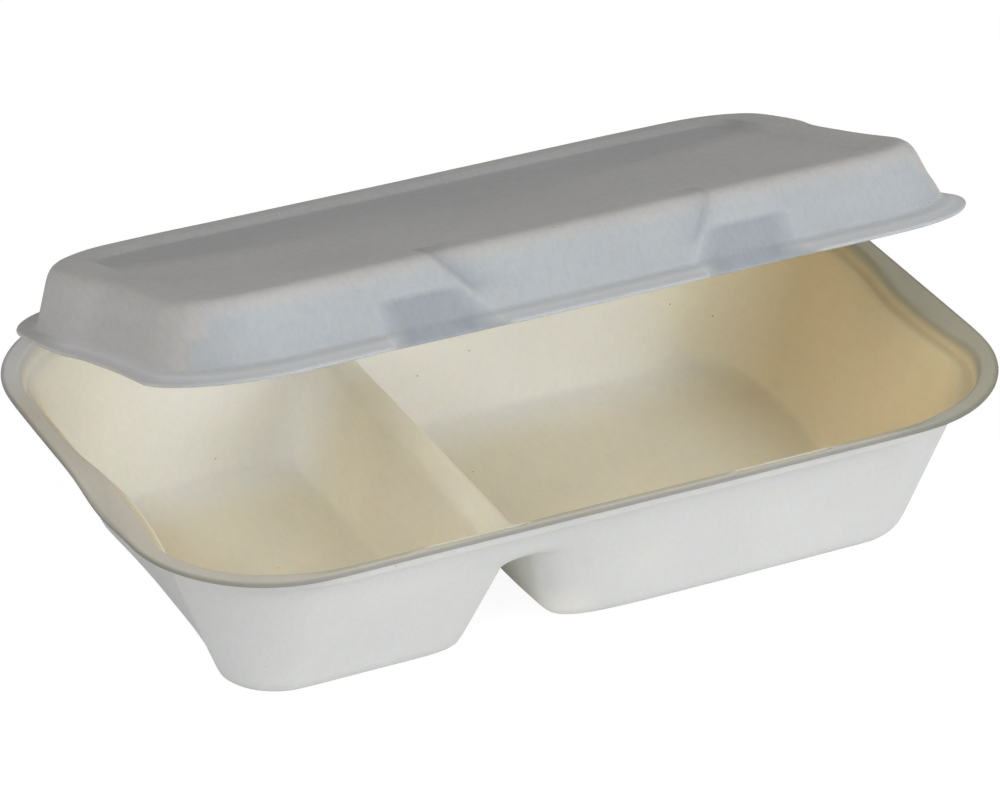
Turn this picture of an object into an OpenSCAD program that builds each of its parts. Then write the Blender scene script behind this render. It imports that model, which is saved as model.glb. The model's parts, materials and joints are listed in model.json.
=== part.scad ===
// Meal box of moulded bagasse pulp: a tray with two compartments and a lid
// that is hinged along the tray's back edge, drawn with the lid ajar.
// Lengths are in millimetres and angles in degrees. The front is -Y, up is +Z,
// and the origin lies under the middle of the tray, on the table.

/* [Pulp] */
// Thickness of the pulp wall
pulp_t = 1.2; // [0.8:0.1:1.6]

/* [Tray] */
// Length over the rim, left to right
rim_l = 250; // [225:1:290]
// Width over the rim, front to back
rim_w = 160; // [150:1:190]
// Height of the rim above the table
tray_h = 49; // [42:1:60]
// Corner radius of the rim
rim_r = 40; // [36:1:50]
// Width of the flat flange round the rim
flange_w = 5; // [4:0.1:7]
// Depth of the step inside the flange, in which the lid nests
step_d = 5; // [4:0.1:6]
// How far the step leans inwards
step_lean = 1.3; // [1:0.1:2]
// Width of the ledge at the foot of the step
ledge_w = 2.6; // [2.4:0.1:4]
// Draft of the compartment walls
wall_draft = 21; // [16:0.5:23]
// Radius between the walls and the floor
floor_r = 7; // [5:0.5:10]
// Plan radius of the compartment corners under the ledge
wall_corner_r = 38; // [34:0.5:44]
// Plan radius of the compartment corners at the floor
floor_corner_r = 16; // [12:0.5:24]

/* [Divider] */
// Place of the divider, right of the tray's middle
divider_x = -24.5; // [-30:0.5:30]
// Drop from the rim to the divider's crest
divider_drop = 18; // [14:0.5:24]
// Width of the divider at its crest
crest_w = 8.6; // [6.4:0.1:12]
// Draft of the divider's two flanks
divider_draft = 17; // [12:0.5:19]
// Plan radius of the corners between the divider and the long walls
notch_r = 8; // [5:0.5:12]

/* [End panels] */
// How far the panel in each end wall of the tray stands in
boss_d = 3; // [1:0.1:4]
// Half width of that panel under the ledge
boss_top_half = 9; // [5:0.5:11]
// Half width of that panel at the floor
boss_floor_half = 15; // [11:0.5:17]
// Width of the panel's sloping flanks
boss_flank = 7; // [4:0.5:9]

/* [Tab lock] */
// Distance of each lock from the middle
tab_x = 44; // [40:0.5:50]
// Width of each lock
tab_w = 28; // [22:0.5:32]
// Distance of the slits from the front edge
slit_inset = 1.6; // [1.2:0.1:2.2]
// Width of the slits
slit_w = 1.2; // [0.8:0.1:1.4]
// Height of the recess over each tab of the lid
tab_h = 8; // [5:0.1:9]
// Width of the sloping sides of that recess
tab_flank = 4; // [3:0.1:5]
// How far the foot of that recess stands behind its top
tab_undercut = 1.5; // [0.5:0.1:2.5]
// How far the tab's edge is drawn in from the edge of the lid
tab_draw = 4.5; // [3:0.1:6]
// How far the tab's edge hangs below the lid's flange
tab_drop = 2.5; // [1:0.1:3]

/* [Lid] */
// Height of the lid above its flange
lid_h = 16.8; // [14:0.1:24]
// Width of the lid's flange along the front and the back
lid_flange_w = 8.5; // [7:0.1:11]
// Width of the lid's flange at the two ends
lid_end_flange_w = 4.4; // [3:0.1:8]
// Draft of the lid's long walls
lid_draft = 29; // [20:0.5:30]
// Draft of the lid's end walls
lid_end_draft = 26; // [18:0.5:30]
// Radius between the lid's walls and its top
lid_top_r = 7; // [5:0.5:9]
// Width of the raised border round the top
border_w = 11; // [9:0.5:13]
// Depth of the sunk panel inside the border
panel_d = 2; // [1:0.1:3]
// How far the middle of each end wall is pushed in
lid_recess_d = 2.4; // [1:0.1:4]
// Depth of the creases in the front wall
crease_d = 1; // [0.4:0.1:1.4]
// Clearance between the nested lid and the step of the tray
nest_gap = 0.4; // [0.3:0.05:0.6]

/* [Hinge] */
// Opening of the lid, from level
lid_open = 19.3; // [0:0.1:170]
// Clearance along the fold
hinge_gap = 0.6; // [0.5:0.05:0.8]

/* [Hidden] */

// Segments of a quarter turn in plan, of the wide and of the small fillets, and steps of the slopes
corner_n = 8;
fillet_n = 4;
edge_n = 2;
wall_n = 12;
flank_n = 7;

// An edge that is convex on the upper face keeps a radius on the lower face too
edge_r = pulp_t + 0.6;
// Radius at the foot of a step
foot_r = 0.8;

floor_z = pulp_t;
crest_z = tray_h - divider_drop;
step_inset = flange_w + step_lean;
ledge_inset = step_inset + ledge_w;
ledge_z = tray_h - step_d;
floor_inset = ledge_inset + (ledge_z - floor_z) * tan(wall_draft);

// Heights over which two slopes run into each other, for the radii at the floor and beside the divider
floor_reach = floor_r * tan((90 - wall_draft) / 2) / tan(wall_draft);
notch_reach = 8 * (1 - sqrt(0.5)) * notch_r / (tan(wall_draft) + tan(divider_draft));
// Depth below the table to which the slopes are followed, where all rounding has ended
slope_end_z = floor_z - floor_reach - notch_reach / 4;

// The hinge axis lies at the back edge, between the two flanges
hinge_y = rim_w / 2 + hinge_gap / 4;
hinge_z = tray_h + hinge_gap / 2;

lid_l = rim_l - 2 * (step_inset + nest_gap);
lid_front_y = -rim_w / 2 + step_inset + nest_gap;
lid_back_y = rim_w / 2;
lid_front_r = rim_r - step_inset - nest_gap;
lid_back_r = rim_r;
lid_corner_min_r = 6;
lid_flange_z = hinge_gap / 2 + pulp_t;
lid_top_inset = lid_flange_w + lid_h * tan(lid_draft);
panel_slope = 2.5;

// Share of the crease's lean: it runs up and out from the inner end of each tab
crease_lean = 0.78;
crease_half = 1.8;
crease_off = 4.4;

function unit(v) = v / norm(v);
function cross_z(a, b) = a.x * b.y - a.y * b.x;
function turned(v, a) = [v.x * cos(a) - v.y * sin(a), v.x * sin(a) + v.y * cos(a)];

// Arc of radius r that rounds the corner b between a and c, in n segments
function fillet(a, b, c, r, n) =
    let (
        u = unit(a - b),
        v = unit(c - b),
        half = acos(u * v) / 2,
        middle = b + unit(u + v) * r / sin(half),
        start = b + u * r / tan(half) - middle,
        turn = (180 - 2 * half) * sign(cross_z(v, u))
    )
    [for (i = [0 : n]) middle + turned(start, turn * i / n)];

function flat(p) = [p[0], p[1]];

// Open path whose corners, given as [x, z, radius, segments], are rounded
function rounded(path) = [
    flat(path[0]),
    for (i = [1 : len(path) - 2])
        each path[i][2] > 0
            ? fillet(flat(path[i - 1]), flat(path[i]), flat(path[i + 1]), path[i][2], path[i][3])
            : [flat(path[i])],
    flat(path[len(path) - 1])
];

// Greater of two heights, rounded where they differ by less than the reach
function soft_max(a, b, reach) =
    let (overlap = max(reach - abs(a - b), 0))
    max(a, b) + (reach > 0 ? overlap * overlap / (4 * reach) : 0);

function corner(x, y, r, from) = [
    for (i = [0 : corner_n])
        [x + r * cos(from + 90 * i / corner_n), y + r * sin(from + 90 * i / corner_n)]
];

// Normal of the sheet at ring k and point j, on its upper face
function sheet_normal(rings, k, j) =
    let (
        n = len(rings[k]),
        along = rings[k][(j + 1) % n] - rings[k][(j + n - 1) % n],
        across = rings[min(k + 1, len(rings) - 1)][j] - rings[max(k - 1, 0)][j]
    )
    unit(cross(along, across));

// Middle of a list of points
function middle(points) = [for (p = points) 1] * points / len(points);

// Sheet of even thickness whose upper face runs through rings of equal length, from the edge inwards.
// caps are outlines, as indices into the last ring, that close it: each is a fan about its own middle.
module sheet(rings, caps, thickness) {
    n = len(rings[0]);
    m = len(rings);
    last = (m - 1) * n;
    hub = m * n;
    under = hub + len(caps);
    upper = [for (ring = rings) each ring];
    lower = [
        for (k = [0 : m - 1], j = [0 : n - 1])
            rings[k][j] - thickness * sheet_normal(rings, k, j)
    ];
    upper_hubs = [for (cap = caps) middle([for (i = cap) upper[last + i]])];
    lower_hubs = [for (cap = caps) middle([for (i = cap) lower[last + i]])];
    skin = [
        for (k = [0 : m - 2], j = [0 : n - 1])
            let (a = k * n + j, b = k * n + (j + 1) % n)
            each [[a, a + n, b], [b, a + n, b + n]]
    ];
    fans = [
        for (c = [0 : len(caps) - 1], i = [0 : len(caps[c]) - 1])
            [hub + c, last + caps[c][i], last + caps[c][(i + 1) % len(caps[c])]]
    ];
    upper_faces = concat(skin, fans);
    lower_faces = [for (face = upper_faces) [under + face[2], under + face[1], under + face[0]]];
    edge = [for (j = [0 : n - 1]) [j, (j + 1) % n, under + (j + 1) % n, under + j]];
    polyhedron(
        concat(upper, upper_hubs, lower, lower_hubs),
        concat(upper_faces, lower_faces, edge),
        convexity = 6
    );
}

// Profile of the tray from the rim's edge down the wall, as inset and height.
// The wall's slope runs on below the table, and the floor is rounded into it afterwards.
function wall_inset(z) = ledge_inset + (ledge_z - z) * tan(wall_draft);
wall_step = (ledge_z - slope_end_z) / wall_n;
tray_profile = rounded([
    [0, tray_h],
    [flange_w, tray_h, edge_r, edge_n],
    [step_inset, ledge_z, foot_r, edge_n],
    [ledge_inset, ledge_z, edge_r, edge_n],
    for (i = [1 : wall_n])
        let (z = ledge_z - i * wall_step)
        [wall_inset(z), z, 0]
]);

// Profile of one half of the divider from its middle outwards, as distance and height
crest_r = edge_r + 0.8;
flank_step = (crest_z - slope_end_z) / flank_n;
divider_half = rounded([
    [0, crest_z],
    [crest_w / 2, crest_z, crest_r, edge_n],
    for (i = [1 : flank_n])
        [crest_w / 2 + i * flank_step * tan(divider_draft), crest_z - i * flank_step, 0]
]);
divider_profile = concat(
    [for (i = [len(divider_half) - 1 : -1 : 1]) [divider_x - divider_half[i].x, divider_half[i].y]],
    [for (p = divider_half) [divider_x + p.x, p.y]]
);
divider_n = len(divider_profile);

// Height of the upper face where the slope of the wall is at height a and that of the divider at b.
// The rounding between the two dies out at the ledge.
function on_floor(z) = soft_max(z, floor_z, floor_reach);
function between(a, b) = on_floor(soft_max(a, b, max(0, min(notch_reach, ledge_z - max(a, b)))));

// Share of an end panel's depth that is left at height z: all under the ledge, none at the floor
function boss_share(inset, z) =
    inset < step_inset + foot_r ? 0 : max(0, min(1, (z - floor_z) / (ledge_z - floor_z)));

// Plan radius of the corners: even steps down to the foot of the step, then the compartment's own
function corner_r(inset) =
    lookup(inset, [
        [0, rim_r],
        [step_inset, rim_r - step_inset],
        [ledge_inset, wall_corner_r],
        [floor_inset, floor_corner_r]
    ]);

// Closed outline of the tray's upper face at one point of the profile
function tray_ring(inset, z) =
    let (
        half_l = rim_l / 2 - inset,
        half_w = rim_w / 2 - inset,
        r = corner_r(inset),
        share = boss_share(inset, z),
        panel = boss_floor_half + (boss_top_half - boss_floor_half) * (z - floor_z) / (tray_h - floor_z),
        plan_end = [
            [half_l, -panel - boss_flank],
            [half_l - boss_d * share, -panel],
            [half_l - boss_d * share, panel],
            [half_l, panel + boss_flank]
        ],
        front = [for (p = divider_profile) [p.x, -half_w, between(z, p.y)]],
        level = function (points) [for (p = points) [p.x, p.y, on_floor(z)]]
    )
    concat(
        front,
        level(corner(half_l - r, -half_w + r, r, -90)),
        level(plan_end),
        level(corner(half_l - r, half_w - r, r, 0)),
        [for (j = [divider_n - 1 : -1 : 0]) [front[j].x, half_w, front[j].z]],
        level(corner(-half_l + r, half_w - r, r, 90)),
        level(-plan_end),
        level(corner(-half_l + r, -half_w + r, r, 180))
    );

module tray() {
    rings = [for (p = tray_profile) tray_ring(p.x, p.y)];
    side = 2 * corner_n + 6;
    back = divider_n + side;
    count = 2 * back;
    // The last ring is closed by a strip across each part of the divider and one flat at each end
    strips = [
        for (j = [0 : divider_n - 2])
            [j, back + divider_n - 1 - j, back + divider_n - 2 - j, j + 1]
    ];
    right_flat = [for (j = [back : -1 : divider_n - 1]) j];
    left_flat = [0, for (j = [count - 1 : -1 : back + divider_n - 1]) j];
    color([0.86, 0.83, 0.74])
        difference() {
            sheet(rings, concat(strips, [right_flat, left_flat]), pulp_t);
            for (side = [-1, 1])
                translate([side * tab_x - tab_w / 2, -rim_w / 2 + slit_inset, tray_h - 2 * pulp_t])
                    cube([tab_w, slit_w, 3 * pulp_t]);
        }
}

// Profile of the lid from the edge of its flange up to the sunk panel, as inset and height
lid_top_z = lid_flange_z + lid_h;
tab_z = lid_flange_z + tab_h;
lid_profile = rounded([
    [0, lid_flange_z],
    [lid_flange_w, lid_flange_z, foot_r, edge_n],
    [lid_flange_w + tab_h * tan(lid_draft), tab_z, 0],
    [lid_top_inset, lid_top_z, lid_top_r, fillet_n],
    [lid_top_inset + border_w, lid_top_z, edge_r, edge_n],
    [lid_top_inset + border_w + panel_slope, lid_top_z - panel_d, foot_r, edge_n],
    [lid_top_inset + border_w + panel_slope + 3, lid_top_z - panel_d]
]);

// How far a tab's recess pushes the front wall in at height z, so that the wall leans over there.
// The edge of the flange is drawn in and hangs down under the recess.
function tab_push(inset, z) =
    inset < lid_flange_w / 2
        ? tab_draw
        : max(0, tab_z - max(z, lid_flange_z)) * (tan(lid_draft) + tab_undercut / tab_h);
function tab_sink(inset) = inset < lid_flange_w / 2 ? tab_drop : 0;
function on_wall(inset) = inset > lid_flange_w + foot_r && inset < lid_top_inset ? 1 : 0;

// Front wall points of one half of the lid, from its middle outwards, as place, push and sink
function front_half(inset, z) =
    let (
        lean = crease_lean * max(z - lid_flange_z, 0),
        inner = tab_x - tab_w / 2 + lean,
        outer = tab_x + tab_w / 2,
        push = tab_push(inset, z),
        sink = tab_sink(inset),
        crease = inner - crease_off
    )
    [
        [crease - crease_half, 0, 0],
        [crease, crease_d * on_wall(inset), 0],
        [crease + crease_half, 0, 0],
        [inner, 0, 0],
        [inner + tab_flank, push, sink],
        [outer - tab_flank + lean / 8, push, sink],
        [outer + lean / 8, 0, 0]
    ];

// How much further out the ends lie, for their narrower flange and steeper wall
function end_gain(inset, z) =
    (lid_flange_w - lid_end_flange_w) * min(1, inset / lid_flange_w)
    + (tan(lid_draft) - tan(lid_end_draft)) * max(0, z - lid_flange_z);

// Closed outline of the lid's outer face at one point of its profile, counted from the hinge axis
function lid_ring(inset, z) =
    let (
        half_l = lid_l / 2 - inset + end_gain(inset, z),
        front_y = lid_front_y - hinge_y + inset,
        back_y = lid_back_y - hinge_y - inset,
        middle_y = (lid_front_y + lid_back_y) / 2 - hinge_y,
        rf = max(lid_front_r - inset, lid_corner_min_r),
        rb = max(lid_back_r - inset, lid_corner_min_r),
        push = inset > lid_flange_w / 2 && inset < lid_top_inset + lid_top_r ? lid_recess_d : 0,
        half = front_half(inset, z),
        right_end = [
            [half_l, middle_y - boss_floor_half - boss_flank],
            [half_l - push, middle_y - boss_floor_half],
            [half_l - push, middle_y + boss_floor_half],
            [half_l, middle_y + boss_floor_half + boss_flank]
        ],
        front = [for (p = half) [p.x, front_y + p.y, z - p.z]],
        rest = concat(
            corner(half_l - rf, front_y + rf, rf, -90),
            right_end,
            corner(half_l - rb, back_y - rb, rb, 0),
            corner(-half_l + rb, back_y - rb, rb, 90),
            [for (j = [3 : -1 : 0]) [-right_end[j].x, right_end[j].y]],
            corner(-half_l + rf, front_y + rf, rf, 180)
        )
    )
    concat(
        [for (j = [len(front) - 1 : -1 : 0]) [-front[j].x, front[j].y, front[j].z]],
        front,
        [for (p = rest) [p.x, p.y, z]]
    );

module lid() {
    rings = [for (p = lid_profile) lid_ring(p.x, p.y)];
    count = len(rings[0]);
    color([0.72, 0.74, 0.76])
        translate([0, hinge_y, hinge_z])
            rotate([-lid_open, 0, 0])
                sheet(rings, [[for (j = [count - 1 : -1 : 0]) j]], pulp_t);
}

tray();
lid();
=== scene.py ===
"""Meal box of moulded bagasse pulp: a tray with two compartments, a domed lid and the fold between them."""

import json
import math

import bmesh
import bpy
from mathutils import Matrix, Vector


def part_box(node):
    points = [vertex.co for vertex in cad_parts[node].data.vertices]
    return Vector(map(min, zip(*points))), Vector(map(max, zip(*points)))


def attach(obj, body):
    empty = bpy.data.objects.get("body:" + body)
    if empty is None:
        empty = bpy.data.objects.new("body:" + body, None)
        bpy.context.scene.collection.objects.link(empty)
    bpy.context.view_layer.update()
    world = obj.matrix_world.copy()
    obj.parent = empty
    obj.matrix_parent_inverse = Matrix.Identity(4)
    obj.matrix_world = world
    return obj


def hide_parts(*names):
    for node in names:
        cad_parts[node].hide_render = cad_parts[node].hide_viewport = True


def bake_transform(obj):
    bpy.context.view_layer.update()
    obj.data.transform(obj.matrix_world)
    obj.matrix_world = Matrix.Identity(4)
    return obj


bl_info = {
    "name": "Moulded Pulp Meal Box",
    "version": (1, 0, 0),
    "blender": (4, 5, 0),
    "location": "View3D > Sidebar > Meal Box",
    "description": "Models the tray, lid and fold of a pulp meal box over its packed frame",
    "category": "Object",
}

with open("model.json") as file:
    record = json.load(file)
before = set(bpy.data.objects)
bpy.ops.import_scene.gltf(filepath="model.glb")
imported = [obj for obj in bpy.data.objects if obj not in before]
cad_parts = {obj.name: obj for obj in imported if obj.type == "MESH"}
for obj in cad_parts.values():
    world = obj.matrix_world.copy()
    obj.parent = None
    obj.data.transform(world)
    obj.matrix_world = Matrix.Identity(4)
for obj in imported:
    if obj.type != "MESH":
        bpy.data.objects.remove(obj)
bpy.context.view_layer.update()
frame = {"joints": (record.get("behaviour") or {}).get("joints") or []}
TRAY_LOW, TRAY_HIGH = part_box("tray")
HINGE = Vector(frame["joints"][0]["pos_m"])
MM = 0.001

# How near a point lies to the place where it is looked for
CLOSE = 0.1 * MM

# Finishes of the pulp: the size of its dimples, their strength and the darkness of its fibres
PRESSED = (1.1 * MM, 0.06, 0.03)
PLAIN = (0.9 * MM, 0.1, 0.03)
HAMMERED = (0.9 * MM, 0.5, 0.06)
FOLDED = (0.9 * MM, 0.2, 0.06)

# Places of the lights, in metres from the middle of the floor
LIGHT_PLACES = {
    "right_light": (0.83, -1.1, 0.66),
    "front_light": (-0.7, -1.45, 0.25),
    "left_light": (-1.0, -0.75, 0.95),
}


def length(name, description, millimetres):
    """Length property with its default in millimetres."""
    return bpy.props.FloatProperty(
        name=name, description=description, default=millimetres * MM, min=0, unit="LENGTH", precision=4
    )


def angle(name, description, degrees):
    """Angle property with its default in degrees."""
    return bpy.props.FloatProperty(
        name=name, description=description, default=math.radians(degrees), unit="ROTATION"
    )


def colour(name, description, value):
    """Colour property with a linear default."""
    return bpy.props.FloatVectorProperty(
        name=name, description=description, default=value, size=3, min=0, max=1, subtype="COLOR"
    )


class MealBoxTraySizes(bpy.types.PropertyGroup):
    """Sizes of the tray"""

    pulp: length("Pulp", "Thickness of the pulp wall", 1.2)
    rim_length: length("Rim length", "Length over the rim", (TRAY_HIGH[0] - TRAY_LOW[0]) / MM)
    rim_width: length("Rim width", "Width over the rim", (TRAY_HIGH[1] - TRAY_LOW[1]) / MM)
    rim_height: length("Rim height", "Height of the rim above the table", TRAY_HIGH[2] / MM)
    rim_radius: length("Rim radius", "Corner radius of the rim", 40)
    wall_radius: length("Wall radius", "Corner radius at the top of the walls", 34)
    floor_radius: length("Floor radius", "Corner radius at the floor", 16)
    flange: length("Flange", "Width of the flat flange", 5)
    edge_round: length("Edge round", "Width of the bends at the edges of flange and step", 1.2)
    front_shift: length("Front shift", "How much narrower the flange is along the front", 1.8)
    step_depth: length("Step", "Depth of the step in which the lid nests", 5)
    step_lean: length("Step lean", "How far the step leans inwards", 1.3)
    step_return: length("Step return", "How far the step keeps back from the end panels", 1.2)
    ledge: length("Ledge", "Width of the ledge at the foot of the step", 2.6)
    ledge_round: length("Ledge round", "Width of the bend at the foot of the step", 1)
    floor_bend: length("Floor bend", "Height of the bend from the walls into the floor", 4.5)
    wall_draft: angle("Wall draft", "Lean of the outer walls", 21)
    divider_draft: angle("Divider draft", "Lean of the divider's flanks", 17)
    divider_drop: length("Divider drop", "Drop from the rim to the divider's crest", 18)
    crest: length("Crest", "Width of the divider at its crest", 8.6)
    panel_depth: length("End panel", "How far the panel in each end wall stands in", 3.2)
    lug_drop: length("Lug drop", "How far the lug at the left end hangs down", 2.8)
    slit_length: length("Slit length", "Length of each slit in the front flange", 28)
    slit_width: length("Slit width", "Width of each slit", 1.2)
    slit_inset: length("Slit inset", "Distance of the slits from the front edge", 1.6)
    slit_place: length("Slit place", "Distance of each slit from the middle", 44)
    divider_place: bpy.props.FloatProperty(
        name="Divider place",
        description="Place of the divider along the tray",
        default=-24.5 * MM,
        unit="LENGTH",
        precision=4,
    )

    def ledge_edge(self):
        """Inset of the ledge's inner edge, where the walls start."""
        return self.flange + self.step_lean + self.ledge

    def wall_inset(self, drop):
        """Inset of the walls at a drop below the rim."""
        return self.ledge_edge() + (drop - self.step_depth) * math.tan(self.wall_draft)

    def corner_radius(self, inset):
        """Corner radius of the walls at an inset, which shrinks evenly from the ledge to the floor."""
        first = self.ledge_edge()
        last = self.wall_inset(self.rim_height - self.pulp)
        share = (inset - first) / (last - first)
        return self.wall_radius + share * (self.floor_radius - self.wall_radius)

    def crest_height(self):
        """Height of the divider's crest above the table."""
        return self.rim_height - self.divider_drop


class MealBoxLidSizes(bpy.types.PropertyGroup):
    """Sizes of the lid"""

    open_angle: angle("Opening", "Opening of the lid at rest, from level", 19.3)
    height: length("Height", "Height of the lid above its flange", 16.3)
    flange: length("Flange", "Width of the flange along the front and the back", 8.5)
    end_flange: length("End flange", "Width of the flange at the two ends", 4.4)
    nest: length("Nest", "Inset of the lid's edge from the tray's edge", 6.7)
    back_radius: length("Back radius", "Corner radius at the fold", 37)
    front_radius: length("Front radius", "Corner radius at the front", 33.5)
    edge_round: length("Edge round", "Width of the bends at the edges of flange and tabs", 1.2)
    lip: length("Lip", "How far the edge is rolled down", 1.6)
    lift: length("Lift", "Height of the flange's upper face above the hinge axis", 2)
    wall_draft: angle("Wall draft", "Lean of the lid's long walls", 29)
    end_draft: angle("End draft", "Lean of the lid's end walls", 26)
    border: length("Border", "Width of the raised border round the top", 11)
    panel_depth: length("Panel", "Depth of the sunk panel", 2)
    end_gain: length("End gain", "How much further out the end walls stand at the top", 2)
    end_recess: length("End recess", "How far the middle of each end wall is pushed in", 2)
    tab_place: length("Tab place", "Distance of each tab from the middle", 44)
    tab_length: length("Tab length", "Length of each tab", 30.5)
    tab_flank: length("Tab flank", "Length of the slope at each end of a tab", 3)
    tab_height: length("Tab height", "Height of the recess over each tab", 8.4)
    tab_push: length("Tab push", "How far the foot of the recess is pushed in", 2.5)
    tab_draw: length("Tab draw", "How far the tab's edge is drawn in", 8.5)
    tab_drop: length("Tab drop", "How far the tab's edge hangs down", 3.9)
    crease: length("Crease", "Depth of the crease beside each tab", 1.4)
    lean: bpy.props.FloatProperty(
        name="Lean", description="Run of the creases to the side for each unit of height", default=0.78
    )

    def level(self):
        """Height of the flange's upper face when the lid is level."""
        return HINGE.z + self.lift

    def tab_in(self):
        """Place of a tab's inner end."""
        return self.tab_place - self.tab_length / 2

    def tab_out(self):
        """Place of a tab's outer end."""
        return self.tab_place + self.tab_length / 2

    def crease_place(self):
        """Place of the crease beside a tab, at its foot."""
        return self.tab_in() - 2 * MM

    def columns(self):
        """Stations of the cage along one half of the lid."""
        crease, tab_in, tab_out = self.crease_place(), self.tab_in(), self.tab_out()
        tab = [tab_in, tab_in + self.tab_flank, tab_out - self.tab_flank, tab_out]
        return [crease - 2.2 * MM, crease, *tab, tab_out + 3 * MM]

    def roll(self):
        """Insets and heights of the rings of the rolled flange, counted from its upper face."""
        last = self.end_flange - self.edge_round
        return [(0, -self.lip), (self.edge_round, -0.7 * self.lip), (last, -0.4 * self.lip)]

    def tab_heights(self):
        """Heights of the rings that a tab recess pushes in."""
        return [0, self.edge_round, self.tab_height / 2, self.tab_height - self.edge_round]

    def heights(self):
        """Heights of the rings of the walls."""
        return [*self.tab_heights(), self.tab_height, self.height - 6 * MM, self.height]

    def panel_drops(self):
        """Drops of the rings that lead down into the sunk panel."""
        return [share * self.panel_depth for share in (0.1, 0.9, 1)]

    def rises(self):
        """Height of each ring above the flange, with the height that counts for its slope."""
        sunk = [(self.height - drop, self.height) for drop in self.panel_drops()]
        return [(height, height) for height in self.heights()[1:]] + sunk


class MealBoxLooks(bpy.types.PropertyGroup):
    """Colours of the pulp and the stage, with several tints and marks that are painted light and shade"""

    inside: colour("Inside", "Pressed face of the pulp", (0.97, 0.95, 0.90))
    # Painted shade: the inside turns warmer and darker away from the brightly lit back wall
    painted_warm_shade: colour("Warm floor", "Tint of the inside away from the back wall", (0.91, 0.86, 0.745))
    # Painted shade: the inside turns darker and yellower towards the right end
    painted_right_end_shade: colour("Warm end", "Tint of the tray's inside towards its right end", (0.86, 0.80, 0.62))
    # Painted shade: the inside darker towards the left end wall
    painted_left_end_shade: colour("Dull end", "Tint of the tray's inside at its left end", (0.92, 0.91, 0.88))
    # Painted shade: the inside darker and greyer up towards the rim, over the flange and the step
    painted_rim_shade: colour("Dull rim", "Tint of the tray's inside on the flange", (0.80, 0.83, 0.85))
    # Painted shade: a dark line along the tray's outer edge
    painted_edge_shade: colour("Dull edge", "Tint of the tray's edge", (0.46, 0.48, 0.49))
    # Painted shade: the step along the front darker, below the flange's inner edge
    painted_front_step_shade: colour("Dull front", "Tint of the flange's inner edge along the front", (0.80, 0.79, 0.70))
    grey_rim: colour("Grey rim", "Tint of the tray's flange", (0.87, 0.88, 0.95))
    grey_right: colour("Grey right", "Tint of the flange at the right end", (0.79, 0.84, 0.93))
    # Painted light: the outside of the divider's right flank, in the notch, made brighter as if lit through
    # the pulp
    flank: colour("Flank", "Outside of the divider's right flank, lit through the pulp", (0.95, 0.93, 0.84))
    outside: colour("Outside", "Outer face of the tray", (0.64, 0.65, 0.645))
    lid: colour("Lid", "Hammered outer face of the lid", (0.50, 0.495, 0.485))
    # Painted light: the lid's front wall cooler and a little darker, as under cool light from the front
    painted_lid_front_cool_light: colour("Lid front", "Tint of the lid's front wall", (0.865, 0.925, 0.99))
    # Painted light: the rolled flange lighter, as where light catches the lip
    painted_lid_flange_light: colour("Lid flange", "Rolled flange of the lid", (0.66, 0.68, 0.69))
    # Painted shade: darkening in the tab recesses, the creases and along the rear edge of the sunk panel
    hollow: colour("Hollow", "Tint of the tab recesses, creases and rear panel edge", (0.73, 0.75, 0.78))
    floor: colour("Floor", "Floor of the stage", (0.78, 0.78, 0.78))


class MealBoxStage(bpy.types.PropertyGroup):
    """Camera and lights"""

    azimuth: angle("Azimuth", "Camera's turn to the left of the front", 25.89)
    elevation: angle("Elevation", "Camera's height above the horizon", 29.43)
    distance: length("Distance", "Camera's distance from its aim", 1321.7)
    aim_drop: length("Aim drop", "How far the camera's aim lies below the rim", 11.04)
    lens: bpy.props.FloatProperty(
        name="Lens", description="Focal length on a 36 mm frame", default=176.79, subtype="DISTANCE_CAMERA"
    )
    right_light: bpy.props.FloatProperty(
        name="Right light", description="Power of the light at the front right", default=13.5, unit="POWER"
    )
    front_light: bpy.props.FloatProperty(
        name="Front light", description="Power of the low light at the front", default=5, unit="POWER"
    )
    left_light: bpy.props.FloatProperty(
        name="Left light", description="Power of the high light at the left", default=9.5, unit="POWER"
    )
    light_size: length("Light size", "Width of each light", 900)
    ambient: bpy.props.FloatProperty(
        name="Ambient", description="Strength of the ambient light", default=0.26
    )
    floor_shade: bpy.props.FloatProperty(
        name="Floor shade", description="Brightness of the floor's shading, seen directly", default=0.16
    )
    floor_glow: bpy.props.FloatProperty(
        name="Floor glow", description="Glow of the floor, seen directly", default=0.92
    )


# Tools for modelling in edit mode


def pick(kind, test):
    """Selects only the vertices, edges or faces that pass a test."""
    bpy.ops.mesh.select_mode(type=kind)
    bpy.ops.mesh.select_all(action="DESELECT")
    mesh = bpy.context.edit_object.data
    work = bmesh.from_edit_mesh(mesh)
    for part in {"VERT": work.verts, "EDGE": work.edges, "FACE": work.faces}[kind]:
        if test(part):
            part.select_set(True)
    work.select_flush_mode()
    bmesh.update_edit_mesh(mesh)


def selected_box():
    """Lowest and highest corner of the selected vertices."""
    work = bmesh.from_edit_mesh(bpy.context.edit_object.data)
    points = [v.co.copy() for v in work.verts if v.select]
    low = Vector([min(p[i] for p in points) for i in range(3)])
    high = Vector([max(p[i] for p in points) for i in range(3)])
    return low, high


def mark(name, value):
    """Writes a value to an attribute of the selected vertices."""
    mesh = bpy.context.edit_object.data
    work = bmesh.from_edit_mesh(mesh)
    layer = work.verts.layers.float.get(name) or work.verts.layers.float.new(name)
    for vertex in work.verts:
        if vertex.select:
            vertex[layer] = value
    bmesh.update_edit_mesh(mesh)


def faces_up(face):
    """Tells whether a face is level and looks up."""
    return face.normal.z > 0.99


def split_outline(stations, axis):
    """Puts points on the outline of the flat sheet where it crosses the stations along an axis."""
    normal = [0, 0, 0]
    normal[axis] = 1
    for station in stations:
        bpy.ops.mesh.select_all(action="SELECT")
        bpy.ops.mesh.bisect(plane_co=[station * n for n in normal], plane_no=normal)
    pick("EDGE", lambda edge: len(edge.link_faces) == 2)
    bpy.ops.mesh.dissolve_edges(use_verts=False)


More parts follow.
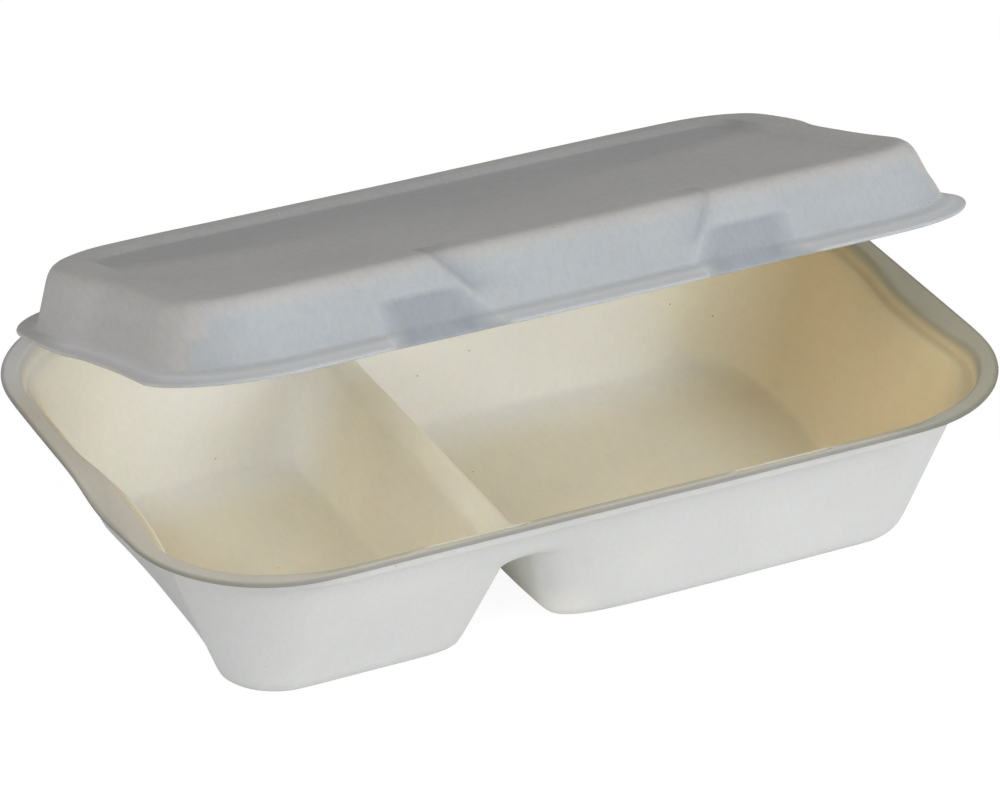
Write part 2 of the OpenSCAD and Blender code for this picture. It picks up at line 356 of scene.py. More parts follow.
def add_outline(name, size, middle, radii, stations):
    """Starts a piece as a flat sheet with round corners, and leaves its one face selected in edit mode."""
    bpy.ops.object.select_all(action="DESELECT")
    bpy.ops.mesh.primitive_plane_add(size=1)
    piece = bpy.context.object
    piece.name = name
    piece.data.name = name
    bpy.ops.object.mode_set(mode="EDIT")
    bpy.ops.transform.resize(value=(size[0], size[1], 1))
    bpy.ops.transform.translate(value=middle)
    front_radius, back_radius = radii
    for radius, at_front in ((front_radius, True), (back_radius, False)):
        edge = middle[1] + (-size[1] if at_front else size[1]) / 2
        pick("VERT", lambda v: abs(v.co.y - edge) < MM and abs(v.co.x) > size[0] / 2 - MM)
        bpy.ops.mesh.bevel(offset=radius, segments=8, affect="VERTICES")
    for axis in (0, 1):
        split_outline(stations[axis], axis)
    pick("FACE", lambda face: True)
    return piece


def follow(profile):
    """Insets the selected face along a profile of (inset, height) points."""
    for (inset, height), (next_inset, next_height) in zip(profile, profile[1:]):
        bpy.ops.mesh.inset(thickness=next_inset - inset, depth=next_height - height)


def draw(rise, left, right, front, back):
    """Extrudes the selected face up or down and draws its four sides in."""
    bpy.ops.mesh.extrude_region_move(TRANSFORM_OT_translate={"value": (0, 0, rise)})
    low, high = selected_box()
    span = high - low
    factor = (1 - (left + right) / span.x, 1 - (front + back) / span.y, 1)
    centre = (low.x + span.x * left / (left + right), low.y + span.y * front / (front + back), low.z)
    bpy.ops.transform.resize(value=factor, center_override=centre)
    return factor


def reshape_corners(sides, old, new):
    """Gives the selected face's round corners another radius, by scaling them about their sharp corners."""
    work = bmesh.from_edit_mesh(bpy.context.edit_object.data)
    work.verts.index_update()
    work.faces.index_update()
    ring = {v.index for v in work.verts if v.select}
    kept = {f.index for f in work.faces if f.select}
    low, high = selected_box()
    for side in sides:
        x = low.x if side < 0 else high.x
        for y in (low.y, high.y):
            pick(
                "VERT",
                lambda v: v.index in ring
                and abs(v.co.x - x) < old[0] + CLOSE
                and abs(v.co.y - y) < old[1] + CLOSE,
            )
            bpy.ops.transform.resize(value=(new / old[0], new / old[1], 1), center_override=(x, y, low.z))
    pick("FACE", lambda face: face.index in kept)


def finish_modifier(piece, kind, **settings):
    """Adds a modifier with its settings and applies it."""
    modifier = piece.modifiers.new(kind.title(), kind)
    for key, value in settings.items():
        setattr(modifier, key, value)
    bpy.ops.object.modifier_apply(modifier=modifier.name)


def make_active(piece):
    """Makes a piece the only selected and the active one."""
    bpy.ops.object.select_all(action="DESELECT")
    piece.select_set(True)
    bpy.context.view_layer.objects.active = piece


def make_pulp(piece, thickness, upper, lower):
    """Turns the cage of a piece into a smooth, slightly uneven sheet of pulp.

    The upper and the lower face have their own material, and the edge has the upper one's.
    """
    for material in (upper, lower):
        piece.data.materials.append(material)
    bpy.ops.mesh.select_all(action="SELECT")
    bpy.ops.mesh.remove_doubles(threshold=CLOSE / 10)
    bpy.ops.object.mode_set(mode="OBJECT")
    finish_modifier(
        piece, "SOLIDIFY", thickness=thickness, offset=-1, material_offset=1, material_offset_rim=0
    )
    finish_modifier(piece, "SUBSURF", levels=2, render_levels=2)
    texture = bpy.data.textures.new(piece.name + "_warp", "CLOUDS")
    texture.noise_scale = 60 * MM
    finish_modifier(
        piece, "DISPLACE", texture=texture, texture_coords="LOCAL", strength=0.5 * MM, direction="Z"
    )
    bpy.ops.object.shade_smooth()


# Materials


def pulp_material(name, base, finish, tints=(), marks=()):
    """Matt pulp with cloudy tone, pressed grain, fibres and a few specks.

    Each tint is an axis, the place where it starts, the place where it is full and its colour.
    Each mark is an attribute of the mesh, the way it is blended in and its colour.
    """
    grain, bump, fibres = finish
    cloud_scale, fibre_scale, speck_scale, sheen_scale = 22, 900, 90, 300
    material = bpy.data.materials.new(name)
    material.use_nodes = True
    nodes = material.node_tree.nodes
    link = material.node_tree.links.new
    shader = nodes["Principled BSDF"]
    shader.inputs["Specular IOR Level"].default_value = 0.25
    shader.inputs["Subsurface Weight"].default_value = 0.5
    shader.inputs["Subsurface Radius"].default_value = (1, 0.7, 0.35)
    shader.inputs["Subsurface Scale"].default_value = 2 * MM

    place = nodes.new("ShaderNodeTexCoord")

    def noise(scale, detail, stretch=(1, 1, 1)):
        mapping = nodes.new("ShaderNodeMapping")
        mapping.inputs["Scale"].default_value = stretch
        link(place.outputs["Object"], mapping.inputs["Vector"])
        texture = nodes.new("ShaderNodeTexNoise")
        texture.inputs["Scale"].default_value = scale
        texture.inputs["Detail"].default_value = detail
        link(mapping.outputs["Vector"], texture.inputs["Vector"])
        return texture.outputs["Fac"]

    def ramp(source, low, high, low_colour, high_colour):
        node = nodes.new("ShaderNodeValToRGB")
        node.color_ramp.elements[0].position = low
        node.color_ramp.elements[1].position = high
        node.color_ramp.elements[0].color = (*low_colour, 1)
        node.color_ramp.elements[1].color = (*high_colour, 1)
        link(source, node.inputs["Fac"])
        return node.outputs["Color"]

    def multiply(a, b):
        node = nodes.new("ShaderNodeMix")
        node.data_type = "RGBA"
        node.blend_type = "MULTIPLY"
        node.inputs[0].default_value = 1
        link(a, node.inputs[6])
        link(b, node.inputs[7])
        return node.outputs[2]

    def tinted(source, factor, tint, blend="MULTIPLY"):
        node = nodes.new("ShaderNodeMix")
        node.data_type = "RGBA"
        node.blend_type = blend
        node.inputs[7].default_value = (*tint, 1)
        link(factor, node.inputs[0])
        link(source, node.inputs[6])
        return node.outputs[2]

    dark_cloud = [c * 0.95 for c in base]
    light_cloud = [min(c * 1.03, 1) for c in base]
    cloud = ramp(noise(cloud_scale, 3), 0.3, 0.7, dark_cloud, light_cloud)
    fibre_tone = (1 - fibres, 1 - fibres, 1 - 1.2 * fibres)
    fibre = ramp(noise(fibre_scale, 2, (1, 0.25, 0.6)), 0.25, 0.6, fibre_tone, (1, 1, 1))
    cells = nodes.new("ShaderNodeTexVoronoi")
    cells.inputs["Scale"].default_value = speck_scale
    link(place.outputs["Object"], cells.inputs["Vector"])
    speck = ramp(cells.outputs["Distance"], 0.02, 0.03, (0.62, 0.56, 0.45), (1, 1, 1))
    tone = multiply(multiply(cloud, fibre), speck)
    axes = nodes.new("ShaderNodeSeparateXYZ")
    link(place.outputs["Object"], axes.inputs["Vector"])
    for axis, start, full, tint in tints:
        reach = nodes.new("ShaderNodeMapRange")
        reach.interpolation_type = "SMOOTHSTEP"
        reach.inputs["From Min"].default_value = start
        reach.inputs["From Max"].default_value = full
        link(axes.outputs[axis], reach.inputs["Value"])
        tone = tinted(tone, reach.outputs["Result"], tint)
    for attribute, blend, tint in marks:
        reader = nodes.new("ShaderNodeAttribute")
        reader.attribute_name = attribute
        tone = tinted(tone, reader.outputs["Fac"], tint, blend)
    link(tone, shader.inputs["Base Color"])

    roughness = ramp(noise(sheen_scale, 2), 0.2, 0.8, (0.72,) * 3, (0.92,) * 3)
    link(roughness, shader.inputs["Roughness"])

    dimples = nodes.new("ShaderNodeBump")
    dimples.inputs["Strength"].default_value = bump
    dimples.inputs["Distance"].default_value = 0.35 * grain
    link(noise(1 / grain, 2), dimples.inputs["Height"])
    link(dimples.outputs["Normal"], shader.inputs["Normal"])
    return material


# Pieces


class MEALBOX_OT_tray(bpy.types.Operator):
    """Model the tray with its rim, two compartments, end panels and slits"""

    bl_idname = "meal_box.tray"
    bl_label = "Tray"

    def execute(self, context):
        size = context.scene.meal_box_tray
        crest_edges = [size.divider_place + side * size.crest / 2 for side in (-1, 1)]
        columns = [-70 * MM, -46 * MM, *crest_edges, -3 * MM, 20 * MM, 45 * MM, 70 * MM]
        rows = [y * MM for y in (26, 8, -6, -16, -26)]
        tray = add_outline(
            "tray_shell",
            (size.rim_length, size.rim_width),
            (0, 0, size.rim_height),
            (size.rim_radius, size.rim_radius),
            (columns, rows),
        )
        self.press_step(size)
        self.sink_walls(size)
        self.split_crest(size, crest_edges)
        for side, crest_drops in ((-1, (3 * MM, 7 * MM)), (1, (1.5 * MM, 5 * MM))):
            self.sink_compartment(side, size, crest_drops)
        for side in (-1, 1):
            self.push_panel(side, size)
        self.lean_left_end(size)
        self.hang_lug(size)
        self.narrow_front_flange(size)
        self.mark_rim(size)
        self.shape_notch(size)
        inside, outside = self.mix_pulp(size, context.scene.meal_box_looks)
        make_pulp(tray, size.pulp, inside, outside)
        self.cut_slits(tray, size)
        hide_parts("tray")
        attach(tray, "tray")
        return {"FINISHED"}

    def press_step(self, size):
        """Presses the flange, the step and the ledge into the flat sheet."""
        foot = size.flange + size.step_lean
        bend = size.step_lean / 4
        follow(
            [
                (0, 0),
                (size.edge_round, 0),
                (size.flange - size.edge_round, 0),
                (size.flange, 0),
                (size.flange + bend, -size.step_depth / 4),
                (foot - bend, size.edge_round - size.step_depth),
                (foot, -size.step_depth),
                (foot + size.ledge_round, -size.step_depth),
                (size.ledge_edge(), -size.step_depth),
            ]
        )
        radius = size.rim_radius - size.ledge_edge()
        reshape_corners((-1, 1), (radius, radius), size.wall_radius)

    def sink_walls(self, size):
        """Sinks the sheet inside the ledge down to the divider's crest."""
        drops = [size.step_depth + step * MM for step in (0, 1.5, 6)] + [size.divider_drop]
        rings = [(size.wall_inset(drop), -drop) for drop in drops]
        for outer, inner in zip(rings, rings[1:]):
            follow([outer, inner])
            radius = size.corner_radius(outer[0]) - inner[0] + outer[0]
            reshape_corners((-1, 1), (radius, radius), size.corner_radius(inner[0]))

    def split_crest(self, size, crest_edges):
        """Parts the divider's crest from the two compartments and cuts it into rungs."""
        highest = size.crest_height() + MM
        for x in crest_edges:
            pick("FACE", lambda face: face.calc_center_median().z < highest and len(face.verts) > 4)
            bpy.ops.mesh.bisect(plane_co=(x, 0, 0), plane_no=(1, 0, 0))
        reach = size.rim_width / 2 - size.wall_inset(size.divider_drop)
        for rung in range(-6, 7, 2):
            pick(
                "FACE",
                lambda face: faces_up(face)
                and abs(face.calc_center_median().x - size.divider_place) < size.crest / 2
                and face.calc_center_median().z < highest,
            )
            bpy.ops.mesh.bisect(plane_co=(0, reach * rung / 7, 0), plane_no=(0, 1, 0))

    def sink_compartment(self, side, size, crest_drops):
        """Sinks a compartment from the crest to the floor, with the divider's flank on one side of it."""
        lean = math.tan(size.wall_draft)
        flank = math.tan(size.divider_draft)
        highest = size.crest_height() + MM
        pick(
            "FACE",
            lambda face: face.calc_center_median().z < highest
            and faces_up(face)
            and side * (face.calc_center_median().x - size.divider_place) > size.crest,
        )
        depth = size.crest_height() - size.pulp
        done = 0
        inset = size.wall_inset(size.divider_drop)
        for drop in (*crest_drops, depth / 2, depth - size.floor_bend, depth):
            step = drop - done
            outer, inner = step * lean, step * flank
            left, right = (outer, inner) if side < 0 else (inner, outer)
            factor = draw(-step, left, right, outer, outer)
            radius = size.corner_radius(inset)
            inset += outer
            reshape_corners((side,), (radius * factor[0], radius * factor[1]), size.corner_radius(inset))
            done = drop
        for width in (4 * MM, 8 * MM):
            draw(0, width, width, width, width)

    def push_panel(self, side, size):
        """Pushes the front half of an end wall in, from the flange's inner edge to the floor."""
        edge = size.rim_length / 2
        outermost = edge - size.flange + CLOSE
        panel_back, panel_front, run_out = 0, -30 * MM, -41 * MM
        parts = ((panel_front, panel_back, 31 * MM, 1), (run_out, panel_front, 32 * MM, 0.6))
        for front, back, reach, share in parts:
            pick("VERT", lambda v: edge - reach < side * v.co.x < outermost and front < v.co.y < back)
            bpy.ops.transform.translate(value=(-side * size.panel_depth * share, 0, 0))
        step_foot = size.rim_height - size.step_depth - CLOSE
        pick(
            "VERT",
            lambda v: edge - 9.7 * MM < side * v.co.x < edge - 7.2 * MM
            and run_out < v.co.y < panel_back
            and step_foot < v.co.z < size.rim_height - 2 * MM,
        )
        bpy.ops.transform.translate(value=(side * size.step_return, 0, 0))

    def lean_left_end(self, size):
        """Leans the rear half of the left end wall further in, so that it stays hidden behind the panel."""
        edge = size.rim_length / 2
        for front, back, share in ((0, 14, 1), (14, 30, 0.9), (30, 46, 0.5)):
            for top, part in ((32, 0.6), (18, 0.4)):
                pick(
                    "VERT",
                    lambda v: edge - 33 * MM < -v.co.x < edge - 8 * MM
                    and front * MM < v.co.y < back * MM
                    and v.co.z < top * MM,
                )
                bpy.ops.transform.translate(value=(size.panel_depth * share * part, 0, 0))

    def hang_lug(self, size):
        """Bends the left edge of the flange down beside the panel, as a lug for the thumb."""
        for inset, share in ((0, 1), (size.edge_round, 0.5)):
            x = inset - size.rim_length / 2
            pick(
                "VERT",
                lambda v: abs(v.co.x - x) < CLOSE
                and -30 * MM < v.co.y < -10 * MM
                and v.co.z > size.rim_height - CLOSE,
            )
            bpy.ops.transform.translate(value=(0, 0, -size.lug_drop * share))

    def narrow_front_flange(self, size):
        """Moves the step along the front outwards, and marks what it moves for painted shade."""
        front = -size.rim_width / 2
        foot = front + size.flange + size.step_lean + CLOSE
        pick(
            "VERT",
            lambda v: front + 3.7 * MM < v.co.y < foot
            and abs(v.co.x) < 86 * MM
            and v.co.z > size.rim_height - size.step_depth - CLOSE,
        )
        bpy.ops.transform.translate(value=(0, -size.front_shift, 0))
        # The moved step is marked for painted shade
        mark("front", 1)

    def mark_rim(self, size):
        """Marks the flange, its part at the right end and its edge; the edge mark carries painted shade."""
        lowest = size.rim_height - 3 * MM
        pick("VERT", lambda v: v.co.z > lowest)
        mark("rim", 1)
        pick("VERT", lambda v: v.co.z > lowest and v.co.x > 78 * MM)
        mark("right", 1)
        # The edge is marked for painted shade
        pick("EDGE", lambda edge: len(edge.link_faces) == 1)
        mark("edge", 1)

    def shape_notch(self, size):
        """Rounds the large compartment's corner in the notch under the divider, and marks its flank for
        painted light.
        """
        pick(
            "VERT",
            lambda v: 0 < v.co.x - size.divider_place < 24 * MM and v.co.y < -46 * MM and v.co.z < 4 * MM,
        )
        bpy.ops.transform.translate(value=(1 * MM, 0.5 * MM, 1.6 * MM))
        highest = size.crest_height() + CLOSE
        # The divider's right flank is marked for painted light on the outside
        for front, back, share in ((-60 * MM, -47 * MM, 0.5), (-47 * MM, 47 * MM, 1)):
            pick(
                "VERT",
                lambda v: 2 * MM < v.co.x - size.divider_place < 15 * MM
                and front < v.co.y < back
                and v.co.z < highest,
            )
            mark("flank", share)

    def mix_pulp(self, size, looks):
        """Makes the materials of the tray's inside and outside, with painted shade on the inside and painted
        light on the divider's flank outside.
        """
        # Painted shade on the inside: warm shade away from the back wall, darker right and left ends, darker
        # band at the rim
        tints = (
            ("Y", 56 * MM, 28 * MM, looks.painted_warm_shade),
            ("X", 62 * MM, 114 * MM, looks.painted_right_end_shade),
            ("X", -70 * MM, -105 * MM, looks.painted_left_end_shade),
            ("Z", size.rim_height - 8 * MM, size.rim_height - 0.5 * MM, looks.painted_rim_shade),
        )
        # Marks: painted shade on the edge and the front step, and greyer tints of the flange
        marks = (
            ("edge", "MULTIPLY", looks.painted_edge_shade),
            ("front", "MULTIPLY", looks.painted_front_step_shade),
            ("rim", "MULTIPLY", looks.grey_rim),
            ("right", "MULTIPLY", looks.grey_right),
        )
        inside = pulp_material("pulp_pressed_tray", looks.inside, PRESSED, tints, marks)
        painted_flank_light = [("flank", "MIX", looks.flank)]
        outside = pulp_material("pulp_outside", looks.outside, PLAIN, marks=painted_flank_light)
        return inside, outside

    def cut_slits(self, tray, size):
        """Cuts the two slits for the lid's tabs through the front flange."""
        for side in (-1, 1):
            bpy.ops.object.select_all(action="DESELECT")
            bpy.ops.mesh.primitive_cube_add(size=1)
            cutter = bpy.context.object
            bpy.ops.object.mode_set(mode="EDIT")
            bpy.ops.transform.resize(value=(size.slit_length, size.slit_width, 4 * size.pulp))
            y = -size.rim_width / 2 + size.slit_inset + size.slit_width / 2
            bpy.ops.transform.translate(value=(side * size.slit_place, y, size.rim_height))
            bpy.ops.object.mode_set(mode="OBJECT")
            make_active(tray)
            finish_modifier(tray, "BOOLEAN", object=cutter, operation="DIFFERENCE", solver="EXACT")
            bpy.data.objects.remove(cutter)


class MEALBOX_OT_lid(bpy.types.Operator):
    """Model the lid with its flange, sunk panel, end recesses, tab recesses and creases"""

    bl_idname = "meal_box.lid"
    bl_label = "Lid"

    def execute(self, context):
        size = context.scene.meal_box_lid
        tray = context.scene.meal_box_tray
        front = -tray.rim_width / 2 + size.nest
        back = tray.rim_width / 2
        half_length = tray.rim_length / 2 - size.nest
        rows = [y * MM for y in (17, 11, -8, -26)]
        lid = add_outline(
            "lid_shell",
            (2 * half_length, back - front),
            (0, (front + back) / 2, size.level()),
            (size.front_radius, size.back_radius),
            ([side * x for x in size.columns() for side in (-1, 1)], rows),
        )
        self.press_dome(size)
        self.mark_tones(size, front, back)
        self.flatten_back(size, back)
        for side in (-1, 1):
            self.shape_end(side, size, half_length)
            self.lean_columns(side, size, front)
            self.press_tab(side, size, front)
            self.press_crease(side, size, front)

        bpy.ops.mesh.select_all(action="SELECT")
        bpy.ops.transform.rotate(value=size.open_angle, orient_axis="X", center_override=HINGE)
        looks = context.scene.meal_box_looks
        # Painted light and shade on the lid: cooler front wall, shaded hollows and a lighter rolled flange
        marks = (
            ("front", "MULTIPLY", looks.painted_lid_front_cool_light),
            ("hollow", "MULTIPLY", looks.hollow),
            ("flange", "MIX", looks.painted_lid_flange_light),
        )
        outer = pulp_material("pulp_hammered_lid", looks.lid, HAMMERED, marks=marks)
        inner = pulp_material("pulp_pressed_lid", looks.inside, PRESSED)
        make_pulp(lid, tray.pulp, outer, inner)
        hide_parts("lid")
        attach(lid, "lid")
        return {"FINISHED"}

    def press_dome(self, size):
        """Presses the rolled flange, the walls, the raised border and the sunk panel into the flat sheet."""
        bpy.ops.transform.translate(value=(0, 0, -size.lip))
        follow(size.roll())
        side_in = size.flange - size.end_flange + size.edge_round
        draw(0.4 * size.lip, size.edge_round, size.edge_round, side_in, side_in)
        lean = math.tan(size.wall_draft)
        follow([(height * lean, height) for height in size.heights()])
        edge = size.border - 1 * MM
        border = [(0, 0), (5 * MM, 0), (edge - 2.5 * MM, 0), (edge, 0)]
        panel = [(edge + step * MM, -drop) for step, drop in zip((1, 3, 4), size.panel_drops())]
        follow([*border, *panel])

    def mark_tones(self, size, front, back):
        """Marks the front wall for painted cool light, the flange for painted light and the rear edge of the
        sunk panel for painted shade.
        """
        level = size.level()
        top = level + size.height
        # The front wall is marked for painted cool light
        pick("VERT", lambda v: v.co.y < front + 20 * MM and v.co.z < top - 3 * MM)
        mark("front", 1)
        # The rolled flange is marked for painted light
        for (_, drop), share in zip([*size.roll(), (0, 0)], (0, 0.6, 1, 0.3)):
            pick("VERT", lambda v: abs(v.co.z - level - drop) < CLOSE / 2 and v.co.y < 20 * MM)
            mark("flange", share)
        # The rear edge of the sunk panel is marked for painted shade
        rear = (front + back) / 2 + 20 * MM
        bottom = top - size.panel_depth
        pick("VERT", lambda v: v.co.y > rear and bottom - CLOSE < v.co.z < top - CLOSE)
        mark("hollow", 0.7)

    def flatten_back(self, size, back):
        """Takes the rolled lip away along the fold."""
        level = size.level()
        for _, drop in size.roll():
            pick("VERT", lambda v: abs(v.co.z - level - drop) < CLOSE / 2 and v.co.y > back - 42 * MM)
            bpy.ops.transform.translate(value=(0, 0, -drop))

    def shape_end(self, side, size, half_length):
        """Makes an end wall steeper than the long walls, and pushes its recess in."""
        level = size.level()
        gain = math.tan(size.wall_draft) - math.tan(size.end_draft) + size.end_gain / size.height
        for height, rise in size.rises():
            pick("VERT", lambda v: abs(v.co.z - level - height) < CLOSE / 2 and side * v.co.x > 75 * MM)
            bpy.ops.transform.translate(value=(side * gain * rise, 0, 0))
        recess_back, recess_front, run_out = 14 * MM, -30 * MM, -46 * MM
        below_lip, upper_wall = -3 * MM, 5 * MM
        parts = (
            (recess_front, recess_back, below_lip, 1),
            (run_out, recess_front, below_lip, 0.6),
            (recess_front, recess_back, upper_wall, 0.5),
        )
        for front, back, floor, share in parts:
            pick(
                "VERT",
                lambda v: side * v.co.x > half_length - 16 * MM
                and front < v.co.y < back
                and v.co.z > level + floor,
            )
            bpy.ops.transform.translate(value=(-side * size.end_recess * share, 0, 0))

    def pick_front(self, side, level, low, high, near, far):
        """Selects the points of the front at a level, between two places along it and two depths."""
        pick(
            "VERT",
            lambda v: abs(v.co.z - level) < CLOSE and low < side * v.co.x < high and near < v.co.y < far,
        )

    def lean_columns(self, side, size, front):
        """Leans the crease and the tab's inner end outwards, up to the sunk panel."""
        low = size.crease_place() - 4 * MM
        high = size.tab_in() + size.tab_flank + 2 * MM
        for height, rise in size.rises():
            self.pick_front(side, size.level() + height, low, high, front, front + 40 * MM)
            bpy.ops.transform.translate(value=(side * size.lean * rise, 0, 0))

    def press_tab(self, side, size, front):
        """Presses the recess into the front wall, and turns the flange under it down, marked for painted
        shade instead of the flange's painted light.
        """
        level = size.level()
        low = size.tab_in() + size.tab_flank / 2
        high = size.tab_out() - size.tab_flank / 2
        wall = front + size.flange
        for height in size.tab_heights():
            shift = size.lean * height
            self.pick_front(side, level + height, low + shift, high, wall - 0.6 * MM, wall + 8 * MM)
            bpy.ops.transform.translate(value=(0, size.tab_push * (1 - height / size.tab_height), 0))
            # The recess is marked for painted shade and loses the flange's painted light
            mark("hollow", 1)
            mark("flange", 0)
        foot = size.flange + size.tab_push
        for (inset, drop), share in zip(size.roll(), (1, 0.72, 0.36)):
            y = front + inset
            pick(
                "VERT",
                lambda v: abs(v.co.y - y) < CLOSE
                and low < side * v.co.x < high
                and v.co.z < level + CLOSE,
            )
            drawn = foot - share * (foot - size.tab_draw)
            bpy.ops.transform.translate(value=(0, drawn - inset, -size.tab_drop * share - drop))
            # The turned-down tab is marked for painted shade and loses the flange's painted light
            mark("hollow", 1)
            mark("flange", 0)

    def press_crease(self, side, size, front):
        """Presses the crease into the front wall, from the tab's top to the border, and marks it for painted
        shade.
        """
        for height in size.heights()[3:]:
            place = size.crease_place() + size.lean * height
            self.pick_front(side, size.level() + height, place - MM, place + MM, front, front + 30 * MM)
            bpy.ops.transform.translate(value=(0, size.crease, 0))
            mark("hollow", 1 if side < 0 else 0.6)


class MEALBOX_OT_fold(bpy.types.Operator):
    """Model the fold that joins the back edges of the tray and the lid"""

    bl_idname = "meal_box.fold"
    bl_label = "Fold"

    def execute(self, context):
        tray = context.scene.meal_box_tray
        straight = tray.rim_length - 2 * tray.rim_radius
        bpy.ops.object.select_all(action="DESELECT")
        bpy.ops.mesh.primitive_plane_add(size=1)
        fold = bpy.context.object
        fold.name = "fold_strip"
        fold.data.name = "fold_strip"
        bpy.ops.object.mode_set(mode="EDIT")
        bpy.ops.transform.resize(value=(straight, 0.8 * MM, 1))
        bpy.ops.transform.translate(value=(0, HINGE.y - 0.7 * MM, HINGE.z - 0.8 * MM))
        for move in ((0.45, 0.2), (0.25, 0.6), (-0.25, 0.6), (-0.45, 0.3), (-0.7, 0.1)):
            last = self.last_edge(fold)
            pick("EDGE", lambda edge: edge.index == last)
            bpy.ops.mesh.extrude_region_move(
                TRANSFORM_OT_translate={"value": (0, move[0] * MM, move[1] * MM)}
            )
        bpy.ops.object.mode_set(mode="OBJECT")
        finish_modifier(fold, "SOLIDIFY", thickness=0.5 * MM, offset=0)
        finish_modifier(fold, "SUBSURF", levels=2, render_levels=2)
        bpy.ops.object.shade_smooth()
        looks = context.scene.meal_box_looks
        fold.data.materials.append(pulp_material("pulp_fold", looks.lid, FOLDED))
        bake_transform(fold)
        return {"FINISHED"}

    def last_edge(self, fold):
        """Index of the long edge that was made last: the open one that is highest, then furthest back."""
        work = bmesh.from_edit_mesh(fold.data)
        work.edges.index_update()
        work.edges.ensure_lookup_table()
        open_edges = [e for e in work.edges if len(e.link_faces) == 1 and e.calc_length() > 10 * MM]
        best = max(open_edges, key=lambda e: (round(e.verts[0].co.z, 6), e.verts[0].co.y))
        return best.index


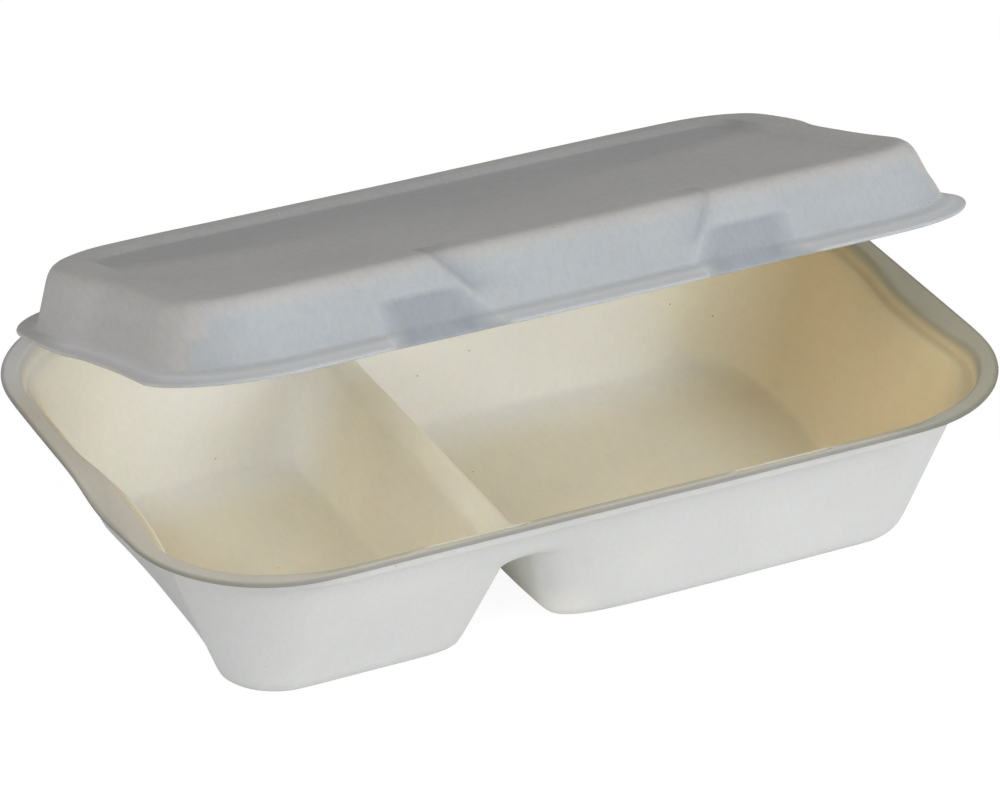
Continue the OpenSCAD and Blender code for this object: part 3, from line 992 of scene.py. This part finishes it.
class MEALBOX_OT_stage(bpy.types.Operator):
    """Set the floor, the soft light and the camera"""

    bl_idname = "meal_box.stage"
    bl_label = "Stage"

    def execute(self, context):
        scene = context.scene
        stage = scene.meal_box_stage
        scene.view_settings.view_transform = "Standard"
        self.add_floor(scene.meal_box_looks.floor, stage)
        self.light_world(scene, stage.ambient)
        aim = Vector((0, 0, scene.meal_box_tray.rim_height - stage.aim_drop))
        for name, place in LIGHT_PLACES.items():
            self.add_light(name, place, aim, stage.light_size, getattr(stage, name))
        flat = math.cos(stage.elevation)
        direction = Vector(
            (-math.sin(stage.azimuth) * flat, -math.cos(stage.azimuth) * flat, math.sin(stage.elevation))
        )
        camera = bpy.data.cameras.new("camera")
        camera.lens = stage.lens
        viewer = bpy.data.objects.new("camera", camera)
        viewer.location = aim + direction * stage.distance
        viewer.rotation_euler = (-direction).to_track_quat("-Z", "Y").to_euler()
        scene.collection.objects.link(viewer)
        scene.camera = viewer
        return {"FINISHED"}

    def add_floor(self, floor_colour, stage):
        """Adds a floor that keeps a soft shadow: seen directly it glows, to other rays it is plain."""
        bpy.ops.object.select_all(action="DESELECT")
        bpy.ops.mesh.primitive_plane_add(size=8)
        floor = bpy.context.object
        floor.name = "floor"
        material = bpy.data.materials.new("white_floor")
        material.use_nodes = True
        nodes = material.node_tree.nodes
        link = material.node_tree.links.new
        nodes.remove(nodes["Principled BSDF"])
        path = nodes.new("ShaderNodeLightPath")
        seen = self.seen_directly(nodes, link, path)
        shade = nodes.new("ShaderNodeMix")
        shade.data_type = "RGBA"
        shade.inputs[6].default_value = (*floor_colour, 1)
        shade.inputs[7].default_value = (stage.floor_shade, stage.floor_shade, stage.floor_shade, 1)
        link(seen, shade.inputs[0])
        diffuse = nodes.new("ShaderNodeBsdfDiffuse")
        link(shade.outputs[2], diffuse.inputs["Color"])
        glow = nodes.new("ShaderNodeEmission")
        scale = nodes.new("ShaderNodeMath")
        scale.operation = "MULTIPLY"
        scale.inputs[1].default_value = stage.floor_glow
        link(seen, scale.inputs[0])
        link(scale.outputs["Value"], glow.inputs["Strength"])
        both = nodes.new("ShaderNodeAddShader")
        link(diffuse.outputs["BSDF"], both.inputs[0])
        link(glow.outputs["Emission"], both.inputs[1])
        link(both.outputs["Shader"], nodes["Material Output"].inputs["Surface"])
        floor.data.materials.append(material)

    def light_world(self, scene, ambient):
        """White to the camera, soft ambient light to the object."""
        world = bpy.data.worlds.new("studio")
        scene.world = world
        world.use_nodes = True
        nodes = world.node_tree.nodes
        link = world.node_tree.links.new
        background = nodes["Background"]
        background.inputs["Color"].default_value = (1, 1, 1, 1)
        mix = nodes.new("ShaderNodeMix")
        mix.inputs[2].default_value = ambient
        mix.inputs[3].default_value = 1
        link(self.seen_directly(nodes, link, nodes.new("ShaderNodeLightPath")), mix.inputs[0])
        link(mix.outputs[0], background.inputs["Strength"])

    def seen_directly(self, nodes, link, path):
        """1 for rays from the camera and for mirrored or transmitted ones, 0 for the rest."""
        total = path.outputs["Is Camera Ray"]
        for ray in ("Is Glossy Ray", "Is Transmission Ray"):
            add = nodes.new("ShaderNodeMath")
            add.operation = "ADD"
            add.use_clamp = True
            link(total, add.inputs[0])
            link(path.outputs[ray], add.inputs[1])
            total = add.outputs["Value"]
        return total

    def add_light(self, name, place, aim, size, power):
        """Square soft light that faces its aim."""
        light = bpy.data.lights.new(name, "AREA")
        light.size = size
        light.energy = power
        lamp = bpy.data.objects.new(name, light)
        lamp.location = place
        lamp.rotation_euler = (aim - Vector(place)).to_track_quat("-Z", "Y").to_euler()
        bpy.context.scene.collection.objects.link(lamp)


class MEALBOX_PT_panel(bpy.types.Panel):
    """Pieces of the meal box and their sizes"""

    bl_idname = "MEALBOX_PT_panel"
    bl_label = "Meal Box"
    bl_space_type = "VIEW_3D"
    bl_region_type = "UI"
    bl_category = "Meal Box"

    def draw(self, context):
        for operator in (MEALBOX_OT_tray, MEALBOX_OT_lid, MEALBOX_OT_fold, MEALBOX_OT_stage):
            self.layout.operator(operator.bl_idname)
        for group in GROUPS:
            owner = getattr(context.scene, group)
            box = self.layout.box()
            for key in owner.bl_rna.properties.keys():
                if key not in ("rna_type", "name"):
                    box.prop(owner, key)


GROUPS = {
    "meal_box_tray": MealBoxTraySizes,
    "meal_box_lid": MealBoxLidSizes,
    "meal_box_looks": MealBoxLooks,
    "meal_box_stage": MealBoxStage,
}
CLASSES = (
    *GROUPS.values(),
    MEALBOX_OT_tray,
    MEALBOX_OT_lid,
    MEALBOX_OT_fold,
    MEALBOX_OT_stage,
    MEALBOX_PT_panel,
)


def register():
    """Registers the classes and hangs the groups on the scene."""
    for cls in CLASSES:
        bpy.utils.register_class(cls)
    for name, group in GROUPS.items():
        setattr(bpy.types.Scene, name, bpy.props.PointerProperty(type=group))


def unregister():
    """Takes the groups and the classes away again."""
    for name in GROUPS:
        delattr(bpy.types.Scene, name)
    for cls in reversed(CLASSES):
        bpy.utils.unregister_class(cls)


def main():
    register()
    bpy.ops.meal_box.tray()
    bpy.ops.meal_box.lid()
    bpy.ops.meal_box.fold()
    bpy.ops.meal_box.stage()


if __name__ == "__main__":
    main()
